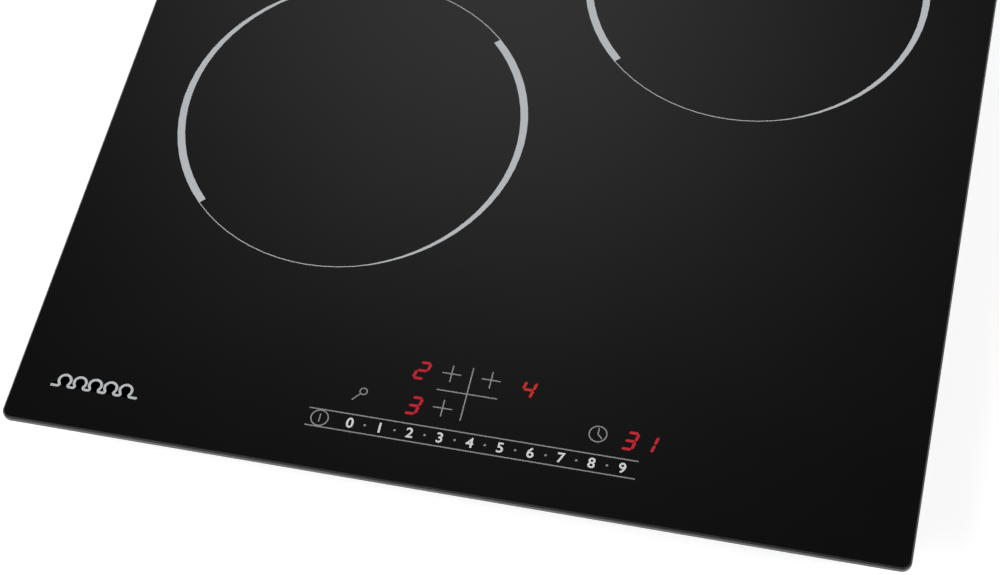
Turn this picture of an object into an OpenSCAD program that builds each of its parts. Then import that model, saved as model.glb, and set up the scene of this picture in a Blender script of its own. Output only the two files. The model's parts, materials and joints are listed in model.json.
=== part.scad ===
// Built-in induction cooktop with three cooking zones. A bevelled glass-ceramic plate is bonded to
// a sheet-steel housing that holds three sprung induction coils, their power board, heatsink and
// radial blower, a touch control board, a terminal box and four swivel worktop clamps.
// +Z is up, +Y points from the control panel to the rear, and z = 0 is the housing's underside.

/* [Glass] */
// Width of the glass plate, left to right
glass_w = 450; // [430:1:600]
// Depth of the glass plate, front to back
glass_d = 520; // [500:1:650]
// Thickness of the glass plate
glass_t = 4; // [3:0.1:6]
// Corner radius of the glass plate
glass_r = 5; // [2:0.5:12]
// Ground bevel on the glass edges
glass_bevel = 0.8; // [0.3:0.1:1.2]
// Thickness of the printed enamel
print_t = 0.05; // [0.03:0.01:0.1]
// Thickness of the sealing strip under the glass
gasket_t = 2; // [1:0.1:3]
// Width of the sealing strip
gasket_w = 8; // [5:0.5:10]
// Distance of the sealing strip from the glass edge
gasket_inset = 3; // [1:0.5:5]

/* [Housing] */
// Height of the housing, from its underside to the glass
housing_h = 51; // [49:0.5:70]
// Thickness of the housing's steel sheet
sheet_t = 0.8; // [0.6:0.1:1.2]
// Distance of the housing's sides from the glass edge
side_inset = 21; // [19:0.5:24]
// Distance of the housing's front from the glass edge
front_inset = 17.5; // [16:0.5:18]
// Distance of the housing's rear from the glass edge
rear_inset = 23.5; // [20:0.5:28]
// Height of the stepped recess along each lower side
step_h = 12; // [11:0.5:14]
// Width of that recess
step_w = 24; // [22:0.5:26]
// Height of the sloping lower front
slope_h = 22; // [16:1:24]
// How far that slope runs back
slope_run = 11; // [6:0.5:12]
// Height of the support frame's upright leg
frame_drop = 14; // [10:0.5:15]
// Sheet thickness of the support frame
frame_t = 1; // [0.8:0.1:1.2]
// How far the support frame's flange stands out from the housing
frame_flange = 4; // [2:0.5:5]

/* [Cooking zones] */
// Distance of each zone's centre from the centre line
zone_x = 97.3; // [95:0.1:100]
// Front left zone, measured from the front edge of the glass
front_left_y = 206.7; // [200:0.1:208]
// Rear left zone, measured from the front edge of the glass
rear_left_y = 392; // [385:0.5:395]
// Right zone, measured from the front edge of the glass
right_y = 334.1; // [325:0.1:340]
// Outer radius of the large zone marking
ring_r_large = 93; // [80:0.5:95]
// Outer radius of the small zone marking
ring_r_small = 83; // [70:0.5:86]
// Outer radius of a large winding
coil_r_large = 84; // [70:0.5:87]
// Outer radius of the small winding
coil_r_small = 74; // [62:0.5:80]
// Inner radius of every winding
coil_r_in = 22; // [18:0.5:26]
// Height of the litz winding
winding_h = 4.2; // [3.5:0.1:5]
// Distance from one turn of the winding to the next
turn_pitch = 3.1; // [2.5:0.1:4]
// Thickness of the coil carrier
carrier_t = 5; // [4.8:0.1:6]
// Thickness of the mica sheet on a coil
mica_t = 0.6; // [0.4:0.1:1]
// Play between a raised coil and the glass
coil_gap = 0.2; // [0.1:0.05:0.5]
// How far a coil can be pressed down on its springs
coil_travel = 3; // [2:0.5:3]
// Free height of the springs under a coil
spring_h = 7; // [6.5:0.5:9]
// Thickness of the aluminium coil plate
plate_t = 1; // [0.8:0.1:1.5]
// Radius of a temperature sensor
sensor_r = 6; // [5:0.5:6.5]

/* [Control panel] */
// Slider scale, measured from the front edge of the glass
slider_y = 28.2; // [28:0.1:32]
// Distance between the slider's two lines
slider_gap = 9.7; // [9:0.1:12]
// Left end of the slider's lines
slider_x0 = -74.4; // [-80:0.1:-72]
// Right end of the slider's lines
slider_x1 = 90; // [88:0.5:95]
// Place of the slider's first digit
digit_x0 = -52.6; // [-54:0.1:-50]
// Distance between the slider's digits
digit_pitch = 15.06; // [14.5:0.01:15.2]
// Line width of the slider and the symbols
line_w = 0.6; // [0.5:0.05:1]
// Thickness of the circuit boards
board_t = 1.6; // [1:0.1:2]

/* [Power electronics] */
// Width of the power board
power_w = 220; // [210:1:240]
// Depth of the power board
power_d = 175; // [170:1:185]
// Height of the power board above the housing floor
power_z = 7; // [5:0.5:8]
// Radius of the blower housing
blower_r = 46; // [44:0.5:48]
// Height of the blower housing
blower_h = 22; // [20:0.5:24]
// Radius of the fan shaft
shaft_r = 1.5; // [1:0.1:2]

/* [Mains connection] */
// Radius of the cable entry
cable_r = 6; // [4:0.5:7]
// Width of the terminal box
terminal_w = 70; // [64:1:72]
// Radius of the terminal cover's hinge pin
pin_r = 1.25; // [1:0.05:1.5]

/* [Worktop clamps] */
// Distance of the clamps' screws from the centre, front to back
clamp_y = 140; // [120:1:160]
// Reach of a clamp from its screw
clamp_reach = 36; // [30:1:40]
// Width of a clamp
clamp_w = 14; // [12:0.5:16]
// Thickness of a clamp's steel
clamp_t = 2; // [1.5:0.1:2.5]
// Radius of a clamp screw's shoulder
clamp_screw_r = 3; // [2.5:0.1:3.5]

/* [Hidden] */
$fn = 64;

// Clearances: a turning fit, a close fixed fit, a loose guide, and the play around thin sheet
run_gap = 0.08;
fixed_gap = 0.05;
guide_gap = 0.4;
sheet_gap = 0.1;
// How far a cutting shape reaches past what it cuts
past = 1;

// Levels of the glass and of the parts that hang below it
front_edge = -glass_d / 2;
glass_top = housing_h + glass_t;
flange_t = 1.2;
rim_z = housing_h - flange_t - 0.2;
coil_top = housing_h - coil_gap;
winding_top = coil_top - mica_t;
carrier_top = winding_top - winding_h;
carrier_z = carrier_top - carrier_t;
plate_top = carrier_z - spring_h;
plate_z = plate_top - plate_t;
// Top of everything below the coil plate, clear of a pressed coil's posts
post_reach = 2;
stack_top = plate_z - post_reach - coil_travel - 1;

// Outer faces of the housing
tray_w = glass_w - 2 * side_inset;
tray_x = tray_w / 2;
tray_front = front_edge + front_inset;
tray_rear = glass_d / 2 - rear_inset;
floor_x = tray_x - step_w;
slope_len = norm([slope_h, slope_run]);

// Zones: x, y, winding radius, marking radius
ZONE_FRONT_LEFT = [-zone_x, front_edge + front_left_y, coil_r_large, ring_r_large];
ZONE_REAR_LEFT = [-zone_x, front_edge + rear_left_y, coil_r_small, ring_r_small];
ZONE_RIGHT = [zone_x, front_edge + right_y, coil_r_large, ring_r_large];
ZONES = [ZONE_FRONT_LEFT, ZONE_REAR_LEFT, ZONE_RIGHT];
carrier_lip = 4;
ferrite_w = 13;
ferrite_h = 4;
ferrite_count = 8;
hub_wall = 2.2;
hub_r = sensor_r + guide_gap + hub_wall;
hub_floor_t = 1.2;
wire_hole_r = 3;
hub_z = plate_top + coil_travel + 1;
post_r = 2.8;
post_inset = 8;
post_count = 3;
post_turn = 22.5;
coil_spring_r = 4.2;
coil_wire_r = 0.45;
coil_spring_turns = 3.5;
sensor_spring_turns = 4;
sensor_h = 6.8;
sensor_step = 1.5;
sensor_top = housing_h - coil_gap / 2;
sensor_wire_r = 0.25;
sensor_spring_r = sensor_r - sensor_step - 0.7;

// Screws: thread radius, head radius, head height
SCREW_M4 = [2, 3.6, 2.2];
SCREW_M3 = [1.5, 2.8, 1.8];

// Control panel, from the front edge of the glass and the centre line
select_x = 0.2;
select_y = 54.4;
select_arm = 15.2;
plus_arm = 4.75;
plus_dx = 10;
plus_dy = 9.9;
power_mark = [-68, slider_y];
clock_mark = [67.8, 44.3];
key_mark = [-50.3, 46.6];
symbol_r = 4.6;
key_r = 2.1;
key_shaft = 5.4;
zone_displays = [[-24.6, 63.5], [-24.1, 43.4], [29.8, 62.3]];
timer_display = [88.8, 43.4];
display_w = 12.5;
display_d = 17;
timer_w = 22;
control_x0 = -90;
control_x1 = 108;
control_d = 50;
carrier_wall = 1.5;
board_play = 0.5;
control_front = tray_front + sheet_t + sheet_gap + frame_t + 0.3;
control_z = housing_h - 7.6;

// Power board, heatsink and blower, placed from the front edge and the centre line
power_x = -130;
power_y = front_edge + 130;
board_z = sheet_t + power_z;
board_top = board_z + board_t;
sink_x = 22;
sink_w = 46;
sink_d = 160;
sink_base = 3;
sink_z = board_top + 5;
blower_x = 15;
blower_y = power_y + power_d + 60;
blower_z = sheet_t + 2.2;
blower_wall = 1.6;
cover_plane = blower_z + blower_h - blower_wall;
duct_w = 38;
duct_x = blower_x + blower_r - duct_w;
intake_r = 34;
hub_cup_r = 18;
impeller_r = blower_r - 5;
impeller_z = blower_z + 3;
impeller_h = blower_h - 7;
bearing_r = shaft_r + 2;
bearing_h = blower_h - 8;

// Terminal box at the rear right, with the cable entry beside its cover
box_x0 = 106;
box_d = 36;
box_h = stack_top + 2 - sheet_t;
box_wall = 1.6;
box_x1 = box_x0 + terminal_w;
box_rear = tray_rear - sheet_t - sheet_gap;
box_y = box_rear - box_d;
box_z = sheet_t + 0.2;
entry_x = box_x0 + 15;
entry_z = box_z + box_h / 2;
gland_r = cable_r + 2.5;
gland_nut_r = gland_r + 3;
cover_x0 = box_x0 + 31;
cover_x1 = box_x1 - 5;
cover_z = 10;
cover_h = box_z + box_h - 2 - cover_z;
cover_t = 2;
cover_gap = 0.6;
hinge_y = tray_rear + cover_gap + cover_t;
hinge_z = cover_z - 3;
knuckle_r = pin_r + 1.2;
ear_w = 3;
ear_gap = 0.4;
pin_gap = 0.02;
window_z = 4.2;

// Clamps
pivot_x = tray_x - step_w / 2;
clamp_z = 2.6;
clamp_head_r = 4.6;
clamp_tip_h = step_h - clamp_z - clamp_t - 1.2;

// ---- Helpers ----

function unit(v) = v / norm(v);

// Points of a helix that climbs from z0 to z1
function helix(r, z0, z1, turns, per_turn) = [for (i = [0 : turns * per_turn])
    let (a = 360 * i / per_turn, f = i / (turns * per_turn)) [r * cos(a), r * sin(a), z0 + (z1 - z0) * f]];

// Points of a cubic curve from a to d, steered by b and c
function curve(a, b, c, d, steps) = [for (i = [0 : steps]) let (f = i / steps, g = 1 - f)
    g * g * g * a + 3 * g * g * f * b + 3 * g * f * f * c + f * f * f * d];

// A round wire along a path; side is a direction that is never along it
module wire(path, r, sides, side) {
    n = len(path);
    ways = [for (i = [0 : n - 1]) unit(path[min(i + 1, n - 1)] - path[max(i - 1, 0)])];
    points = [for (i = [0 : n - 1]) let (u = unit(cross(side, ways[i])), v = cross(ways[i], u))
        for (k = [0 : sides - 1]) path[i] + r * (cos(360 * k / sides) * u + sin(360 * k / sides) * v)];
    walls = [for (i = [0 : n - 2], k = [0 : sides - 1])
        let (p = i * sides + k, q = i * sides + (k + 1) % sides)
        each [[p, p + sides, q + sides], [p, q + sides, q]]];
    start = [for (k = [0 : sides - 1]) k];
    end = [for (k = [sides - 1 : -1 : 0]) (n - 1) * sides + k];
    polyhedron(points, concat(walls, [start, end]));
}

module coil_spring(r, wire_r, z0, z1, turns)
    wire(helix(r, z0 + wire_r + fixed_gap, z1 - wire_r - fixed_gap, turns, 12), wire_r, 6, [0, 0, 1]);

// A box between two corners
module span(a, b) translate(a) cube(b - a);

// A tube standing on z = 0
module tube(outer, inner, h) difference() {
    cylinder(r = outer, h = h);
    translate([0, 0, -past]) cylinder(r = inner, h = h + 2 * past);
}

// A plate with rounded corners and bevelled edges, standing on z = 0
module bevelled_plate(w, d, t, r, b) {
    module section(half) polygon([[b - half, 0], [half - b, 0], [half, b], [half, t - b],
        [half - b, t], [b - half, t], [-half, t - b], [-half, b]]);
    rotate([90, 0, 0]) linear_extrude(d - 2 * r, center = true) section(w / 2);
    rotate([90, 0, 90]) linear_extrude(w - 2 * r, center = true) section(d / 2);
    for (x = [-1, 1], y = [-1, 1]) translate([x * (w / 2 - r), y * (d / 2 - r), 0])
        rotate_extrude() polygon([[0, 0], [r - b, 0], [r, b], [r, t - b], [r - b, t], [0, t]]);
}

// A block with rounded upright edges, standing on z = 0 and centred
module round_block(w, d, h, r) {
    translate([-w / 2 + r, -d / 2, 0]) cube([w - 2 * r, d, h]);
    translate([-w / 2, -d / 2 + r, 0]) cube([w, d - 2 * r, h]);
    for (x = [-1, 1], y = [-1, 1]) translate([x * (w / 2 - r), y * (d / 2 - r), 0]) cylinder(r = r, h = h);
}

// A slot with round ends along Y, cut through a sheet at z = 0
module slot(w, l, t) {
    translate([-w / 2, -l / 2 + w / 2, -past]) cube([w, l - w, t + 2 * past]);
    for (y = [-1, 1]) translate([0, y * (l - w) / 2, -past]) cylinder(d = w, h = t + 2 * past);
}

// A pan-head screw with a cross recess; its head sits on z = 0 and its thread points down
module screw(kind, length) difference() {
    rotate_extrude() polygon([[0, -length], [kind[0] - 0.4, -length], [kind[0], 0.6 - length], [kind[0], 0],
        [kind[1], 0], [kind[1], kind[2] * 0.5], [kind[1] * 0.8, kind[2] * 0.9], [kind[1] * 0.5, kind[2]],
        [0, kind[2]]]);
    for (turn = [0, 90]) rotate(turn) translate([-kind[1] / 2, -kind[1] / 10, kind[2] * 0.4])
        cube([kind[1], kind[1] / 5, kind[2]]);
}

// Turns what lies flat so that its +Z points out of the left, right, front or rear wall
module facing_side(side) rotate([0, side * 90, 0]) children();
module facing_front() rotate([90, 0, 0]) children();
module facing_rear() rotate([-90, 0, 0]) children();

// ---- Glass, its markings and its seal ----

module glass_plate() color([0.03, 0.03, 0.035]) translate([0, 0, housing_h])
    bevelled_plate(glass_w, glass_d, glass_t, glass_r, glass_bevel);

// Line width of a zone marking, by the angle from its thick end
marking_min = 0.4;
marking_mid = 1.1;
marking_swell = 3;
marking_lead = 15;
arc_step = 5;
arc_starts = [-135, 45];
function marking_w(turn) = max(marking_min, marking_mid + marking_swell * cos(turn - marking_lead));

// Half a zone marking: an arc that thins clockwise from its thick, square end
module marking_arc(r, start) linear_extrude(print_t) polygon(concat(
    [for (turn = [0 : arc_step : 180]) r * [cos(start - turn), sin(start - turn)]],
    [for (turn = [180 : -arc_step : 0]) (r - marking_w(turn)) * [cos(start - turn), sin(start - turn)]]));

module zone_markings() color([0.75, 0.76, 0.78])
    for (zone = ZONES, start = arc_starts) translate([zone.x, zone.y, glass_top])
        marking_arc(zone[3], start);

module printed_bar(x, y, w, d) translate([x - w / 2, front_edge + y - d / 2, glass_top])
    cube([w, d, print_t]);

module printed_cross(x, y, arm) {
    printed_bar(x, y, 2 * arm, line_w);
    printed_bar(x, y, line_w, 2 * arm);
}

module printed_ring(x, y, r) translate([x, front_edge + y, glass_top]) tube(r, r - line_w, print_t);

// A printed line from the centre at an angle
module printed_hand(x, y, turn, length) translate([x, front_edge + y, glass_top])
    rotate(turn) translate([0, -line_w / 2, 0]) cube([length, line_w, print_t]);

module panel_markings() color([0.8, 0.81, 0.83]) {
    dot_r = 0.6;
    key_turn = -130;
    for (y = [-0.5, 0.5]) printed_bar((slider_x0 + slider_x1) / 2, slider_y + y * slider_gap,
        slider_x1 - slider_x0, line_w);
    for (i = [0 : 8]) translate([digit_x0 + (i + 0.5) * digit_pitch, front_edge + slider_y, glass_top])
        cylinder(r = dot_r, h = print_t);
    printed_cross(select_x, select_y, select_arm);
    for (place = [[-1, 1], [1, 1], [-1, -1]])
        printed_cross(select_x + place.x * plus_dx, select_y + place.y * plus_dy, plus_arm);
    printed_ring(power_mark.x, power_mark.y, symbol_r);
    printed_bar(power_mark.x, power_mark.y, line_w, symbol_r);
    printed_ring(clock_mark.x, clock_mark.y, symbol_r);
    for (turn = [90, -45]) printed_hand(clock_mark.x, clock_mark.y, turn, symbol_r - 2 * line_w);
    printed_ring(key_mark.x, key_mark.y, key_r);
    translate([(key_r - line_w / 2) * cos(key_turn), (key_r - line_w / 2) * sin(key_turn), 0])
        printed_hand(key_mark.x, key_mark.y, key_turn, key_shaft);
}

module glass_gasket() color([0.12, 0.12, 0.12]) translate([0, 0, housing_h - gasket_t]) difference() {
    w = glass_w - 2 * gasket_inset;
    d = glass_d - 2 * gasket_inset;
    inner_r = 1;
    round_block(w, d, gasket_t, glass_r);
    translate([0, 0, -past]) round_block(w - 2 * gasket_w, d - 2 * gasket_w, gasket_t + 2 * past, inner_r);
}

// ---- Housing ----

// Where the housing's sloping front crosses a height, for a face set in by inset
function slope_y(z, inset) = tray_front + slope_run * (1 - z / slope_h) + inset * slope_len / slope_h;
function slope_top(inset) = slope_h * (1 + (inset * slope_len / slope_h - inset) / slope_run);

// The housing's side view with its front, floor and rear set in by inset, drawn out to a width
module side_view(inset, top, w) rotate([90, 0, 90]) linear_extrude(w, center = true) polygon([
    [tray_front + inset, top], [tray_front + inset, slope_top(inset)], [slope_y(inset, inset), inset],
    [tray_rear - inset, inset], [tray_rear - inset, top]]);

// The recess along each lower side, for walls of a thickness
module side_steps(wall) for (side = [-1, 1])
    translate([side * (floor_x - wall + glass_w / 2), 0, (step_h + wall) / 2 - past])
        cube([glass_w, 2 * glass_d, step_h + wall + 2 * past], center = true);

side_screw_y = [-170, 60, 180];
end_screw_x = [54 - tray_x, tray_x - 54];
frame_screw_z = housing_h - flange_t - frame_drop / 2;

// Places each child at the screws that hold the support frame, pointing out of the housing
module at_frame_screws() {
    for (side = [-1, 1], y = side_screw_y) translate([side * tray_x, y, frame_screw_z])
        facing_side(side) children();
    for (x = end_screw_x) {
        translate([x, tray_front, frame_screw_z]) facing_front() children();
        translate([x, tray_rear, frame_screw_z]) facing_rear() children();
    }
}

pillar_inset = 8;
pillar_places = [for (x = [0, 0.5, 1], y = [0, 1])
    [power_x + pillar_inset + x * (power_w - 2 * pillar_inset),
     power_y + pillar_inset + y * (power_d - 2 * pillar_inset)]];

// Raised dimples keep the heads of the pillar screws clear of the underside
dimple_h = 2;
dimple_r = 4.5;

slot_w = 4;
slot_l = 20;
slot_pitch = 12;
module slot_row(count) for (i = [0 : count - 1]) translate([i * slot_pitch, 0, 0]) children();

module vents() {
    rear_l = slot_l - 4;
    inlet_l = slot_l + 8;
    // Outlets in the rear wall
    translate([-155, tray_rear, stack_top - 4]) slot_row(18)
        facing_rear() translate([0, 0, -sheet_t]) slot(slot_w, rear_l, sheet_t);
    // Outlets in the floor, in front of the power board
    translate([-138, power_y - 36, 0]) slot_row(24) slot(slot_w, slot_l, sheet_t);
    // Inlets in the floor, left of the blower
    for (y = [-20, 20]) translate([blower_x - blower_r - 90, blower_y + y, 0])
        slot_row(6) slot(slot_w, inlet_l, sheet_t);
}

// Stiffening beads pressed into the floor, a groove below and its rise above: x, y, length
bead_w = 9;
bead_d = 0.6;
BEADS = [[0, tray_front + 34, 270], [-45, tray_rear - 40, 190]];
module bead(w, l, h, z) translate([0, 0, z]) {
    translate([-l / 2, -w / 2, 0]) cube([l, w, h]);
    for (x = [-l / 2, l / 2]) translate([x, 0, 0]) cylinder(d = w, h = h);
}

// The floor with the front and rear walls, folded from one sheet
module housing_pan() color([0.62, 0.64, 0.66]) difference() {
    union() {
        difference() {
            side_view(0, rim_z, tray_w);
            side_view(sheet_t, housing_h + past, tray_w + 2 * past);
            side_steps(0);
        }
        for (b = BEADS) translate([b.x, b.y, 0]) bead(bead_w, b.z, bead_d, sheet_t);
        for (place = pillar_places) translate([place.x, place.y, sheet_t])
            cylinder(r = dimple_r + sheet_t, h = dimple_h);
    }
    for (b = BEADS) translate([b.x, b.y, 0]) bead(bead_w - 2 * bead_d, b.z, bead_d + past, -past);
    for (place = pillar_places) translate([place.x, place.y, -past])
        cylinder(r = dimple_r, h = dimple_h + past);
    vents();
    translate([blower_x, blower_y, -past]) cylinder(r = intake_r, h = sheet_t + 2 * past);
    at_frame_screws() translate([0, 0, -sheet_t - past])
        cylinder(r = SCREW_M4[0] + sheet_gap, h = sheet_t + 2 * past);
    for (place = pillar_places) translate([place.x, place.y, 0])
        cylinder(r = SCREW_M3[0] + sheet_gap, h = dimple_h + sheet_t + past);
    translate([entry_x, tray_rear + past, entry_z]) rotate([90, 0, 0])
        cylinder(r = gland_r + sheet_gap, h = sheet_t + 2 * past);
    span([cover_x0 - ear_w - 2 * ear_gap, tray_rear - sheet_t - past, window_z],
        [cover_x1 + ear_w + 2 * ear_gap, tray_rear + past, box_z + box_h - box_wall]);
}

// Air outlets in the rear half of each side wall
module side_vents() {
    rows = 3;
    columns = 3;
    pitch_y = slot_l + 8;
    pitch_z = 2 * slot_w;
    start = [60, step_h + sheet_t + slot_w];
    for (side = [-1, 1], i = [0 : columns - 1], j = [0 : rows - 1])
        translate([side * tray_x, start[0] + i * pitch_y, start[1] + j * pitch_z])
            facing_side(side) translate([0, 0, -sheet_t]) slot(slot_w, slot_l, sheet_t);
}

// The two side walls, each folded into a step that carries the worktop clamps
module side_panels() color([0.6, 0.62, 0.64]) difference() {
    side_view(sheet_t, rim_z, tray_w);
    difference() {
        span([sheet_t - tray_x, -glass_d, -past], [tray_x - sheet_t, glass_d, housing_h + past]);
        side_steps(sheet_t);
    }
    side_steps(0);
    side_vents();
    at_frame_screws() translate([0, 0, -sheet_t - past])
        cylinder(r = SCREW_M4[0] + sheet_gap, h = sheet_t + 2 * past);
    for (x = [-pivot_x, pivot_x], y = [-clamp_y, clamp_y]) translate([x, y, step_h - past])
        cylinder(r = SCREW_M4[0] + sheet_gap, h = sheet_t + 2 * past);
}

module support_frame() color([0.55, 0.56, 0.58]) difference() {
    leg = sheet_t + sheet_gap;
    rear = tray_rear - leg;
    front = tray_front + leg;
    side = tray_x - leg;
    union() {
        span([-side, front, housing_h - flange_t - frame_drop], [side, rear, housing_h]);
        span([-tray_x - frame_flange, tray_front - frame_flange, housing_h - flange_t],
            [tray_x + frame_flange, tray_rear + frame_flange, housing_h]);
    }
    span([frame_t - side, front + frame_t, 0], [side - frame_t, rear - frame_t, housing_h + past]);
    at_frame_screws() translate([0, 0, -leg - frame_t - past])
        cylinder(r = SCREW_M4[0] + fixed_gap, h = leg + frame_t + 2 * past);
}

// Screws of the support frame, the power board's pillars and the coil plate's feet
module housing_screws() color([0.75, 0.75, 0.77]) {
    thread_l = 4;
    at_frame_screws() screw(SCREW_M4, thread_l);
    for (place = pillar_places) translate([place.x, place.y, dimple_h]) mirror([0, 0, 1])
        screw(SCREW_M3, thread_l);
    at_feet() translate([0, 0, plate_t]) screw(SCREW_M3, plate_t);
}

module intake_grille() color([0.13, 0.13, 0.14]) translate([blower_x, blower_y, sheet_t]) {
    bar_h = 1.6;
    bar_w = 2;
    bar_pitch = 6;
    hub = 6;
    spokes = 6;
    tube(intake_r + 5, intake_r - bar_w / 2, bar_h);
    for (r = [intake_r - bar_pitch : -bar_pitch : hub + bar_w]) tube(r, r - bar_w, bar_h);
    cylinder(r = hub, h = bar_h);
    for (i = [0 : spokes - 1]) rotate(i * 360 / spokes) translate([hub - past, -bar_w / 2, 0])
        cube([intake_r - hub + past, bar_w, bar_h]);
}

// ---- Coils ----

module at(zone) translate([zone.x, zone.y, 0]) children();

module at_posts(zone) for (i = [0 : post_count - 1]) rotate(post_turn + i * 360 / post_count)
    translate([zone[2] - post_inset, 0, 0]) children();

plate_x = tray_x - sheet_t - sheet_gap - frame_t - 3;
plate_front = tray_front + sheet_t + 5;
plate_rear = tray_rear - sheet_t - 8;
foot_w = 12;
foot_d = 20;
foot_y = [-200, -90, 90, 195];
cable_hole_r = 6;
// Where each coil's leads pass the plate
lead_places = [[-112, power_y + 58], [-97, power_y + power_d + 14],
    [power_x + power_w + 8, power_y + power_d - 30]];

module at_feet() for (side = [-1, 1], y = foot_y)
    translate([side * (plate_x - foot_w / 2), y, step_h + sheet_t]) children();

module coil_plate() color([0.78, 0.79, 0.8]) difference() {
    union() {
        span([-plate_x, plate_front, plate_z], [plate_x, plate_rear, plate_top]);
        for (side = [-1, 1]) translate([side * (plate_x - plate_t / 2), 0, 0])
            span([-plate_t / 2, plate_front, step_h + sheet_t + plate_t],
                [plate_t / 2, plate_rear, plate_top]);
        at_feet() translate([-foot_w / 2, -foot_d / 2, 0]) cube([foot_w, foot_d, plate_t]);
        for (side = [-1, 1], y = foot_y) translate([side * (plate_x - plate_t / 2), y, step_h + sheet_t])
            translate([-plate_t / 2, -foot_d / 2, 0]) cube([plate_t, foot_d, 2 * plate_t]);
    }
    for (zone = ZONES) at(zone) at_posts(zone) translate([0, 0, plate_z - past])
        cylinder(r = post_r + guide_gap, h = plate_t + 2 * past);
    for (place = lead_places) translate([place.x, place.y, plate_z - past])
        cylinder(r = cable_hole_r, h = plate_t + 2 * past);
    at_feet() translate([0, 0, -past]) cylinder(r = SCREW_M3[0] + sheet_gap, h = plate_t + 2 * past);
    ribbon_slot(plate_z, plate_top);
}

// The opening that the ribbon cable passes, from one height to another
ribbon_play = 2;
module ribbon_slot(low, high)
    span([ribbon_x - ribbon_w / 2 - ribbon_play, ribbon_y - ribbon_play, low - past],
        [ribbon_x + ribbon_w / 2 + ribbon_play, ribbon_y + ribbon_t + ribbon_play, high + past]);

// A moulded carrier: a disc with pockets for the ferrites, a hub for the sensor and guide posts
module coil_carrier(zone) color([0.2, 0.2, 0.21]) at(zone) difference() {
    union() {
        translate([0, 0, carrier_z]) cylinder(r = zone[2] + carrier_lip, h = carrier_t);
        translate([0, 0, hub_z]) cylinder(r = hub_r, h = winding_top - hub_z);
        at_posts(zone) translate([0, 0, plate_z - post_reach])
            cylinder(r = post_r, h = carrier_z - plate_z + post_reach);
    }
    translate([0, 0, hub_z + hub_floor_t]) cylinder(r = sensor_r + guide_gap, h = housing_h);
    translate([0, 0, hub_z - past]) cylinder(r = wire_hole_r, h = hub_floor_t + 2 * past);
    for (i = [0 : ferrite_count - 1]) rotate(i * 360 / ferrite_count)
        translate([ferrite_x0 - fixed_gap, -ferrite_w / 2 - fixed_gap, carrier_z - past])
            cube([ferrite_l(zone) + 2 * fixed_gap, ferrite_w + 2 * fixed_gap, ferrite_h + fixed_gap + past]);
}

ferrite_x0 = coil_r_in + 1;
function ferrite_l(zone) = zone[2] - coil_r_in - 2;

module ferrites(zone) color([0.16, 0.16, 0.17]) at(zone) for (i = [0 : ferrite_count - 1])
    rotate(i * 360 / ferrite_count) translate([ferrite_x0, -ferrite_w / 2, carrier_z])
        cube([ferrite_l(zone), ferrite_w, ferrite_h]);

// A flat winding whose top and underside swell and dip with each turn of the litz
module winding(zone) color([0.72, 0.42, 0.22]) at(zone) translate([0, 0, carrier_top]) {
    turns = floor((zone[2] - coil_r_in) / turn_pitch);
    dip = 0.6;
    top = [for (i = [0 : turns - 1]) each [
        [coil_r_in + i * turn_pitch, winding_h - dip], [coil_r_in + (i + 0.25) * turn_pitch, winding_h],
        [coil_r_in + (i + 0.75) * turn_pitch, winding_h]]];
    edge = coil_r_in + turns * turn_pitch;
    rotate_extrude() polygon(concat([[edge, 0], [coil_r_in, 0]], top, [[edge, winding_h - dip]]));
}

module mica_sheet(zone) color([0.86, 0.82, 0.72]) at(zone) translate([0, 0, winding_top])
    tube(zone[2] + carrier_lip, sensor_r + guide_gap, mica_t);

module coil_springs(zone) color([0.7, 0.71, 0.73]) at(zone) at_posts(zone)
    coil_spring(coil_spring_r, coil_wire_r, plate_top, carrier_z, coil_spring_turns);

// A capped temperature sensor, pressed up against the glass
module sensor(zone) color([0.93, 0.92, 0.9]) at(zone) translate([0, 0, sensor_top]) difference() {
    foot_r = sensor_r - sensor_step;
    edge = 0.8;
    wire_r = 1.5;
    rotate_extrude() polygon([[0, -sensor_h], [foot_r, -sensor_h], [foot_r, sensor_step - sensor_h],
        [sensor_r, 2 * sensor_step - sensor_h], [sensor_r, -edge], [sensor_r - edge, 0], [0, 0]]);
    translate([0, 0, -sensor_h - past]) cylinder(r = wire_r, h = 2 * wire_r + past);
}

module sensor_spring(zone) color([0.7, 0.71, 0.73]) at(zone)
    coil_spring(sensor_spring_r, sensor_wire_r, hub_z + hub_floor_t, sensor_top - sensor_h,
        sensor_spring_turns);

// ---- Controls ----

// The control board's tray: a floor that stands on the coil plate, with walls and board rests
module control_carrier() color([0.16, 0.16, 0.17]) difference() {
    x0 = control_x0 - carrier_wall - 2 * board_play;
    x1 = control_x1 + carrier_wall + 2 * board_play;
    y1 = control_front + control_d + 2 * (carrier_wall + board_play);
    rib_w = 5;
    rib_pitch = (x1 - x0 - rib_w) / 3;
    span([x0, control_front, plate_top], [x1, y1, housing_h - 0.5]);
    // The inside, less the ribs that the board rests on
    difference() {
        span([x0 + carrier_wall, control_front + carrier_wall, plate_top + carrier_wall],
            [x1 - carrier_wall, y1 - carrier_wall, housing_h + past]);
        for (i = [0 : 3]) translate([i * rib_pitch, 0, 0])
            span([x0, control_front, plate_top], [x0 + rib_w, y1, control_z]);
    }
    ribbon_slot(plate_top, plate_top + carrier_wall);
}

board_y0 = control_front + carrier_wall + board_play;

module control_board() color([0.1, 0.32, 0.18])
    span([control_x0, board_y0, control_z], [control_x1, board_y0 + control_d, control_z + board_t]);

module led_displays() color([0.08, 0.08, 0.08]) {
    h = housing_h - 0.4 - control_z - board_t;
    edge_r = 0.5;
    for (place = zone_displays) translate([place.x, front_edge + place.y, control_z + board_t])
        round_block(display_w, display_d, h, edge_r);
    translate([timer_display.x, front_edge + timer_display.y, control_z + board_t])
        round_block(timer_w, display_d, h, edge_r);
}

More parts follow.
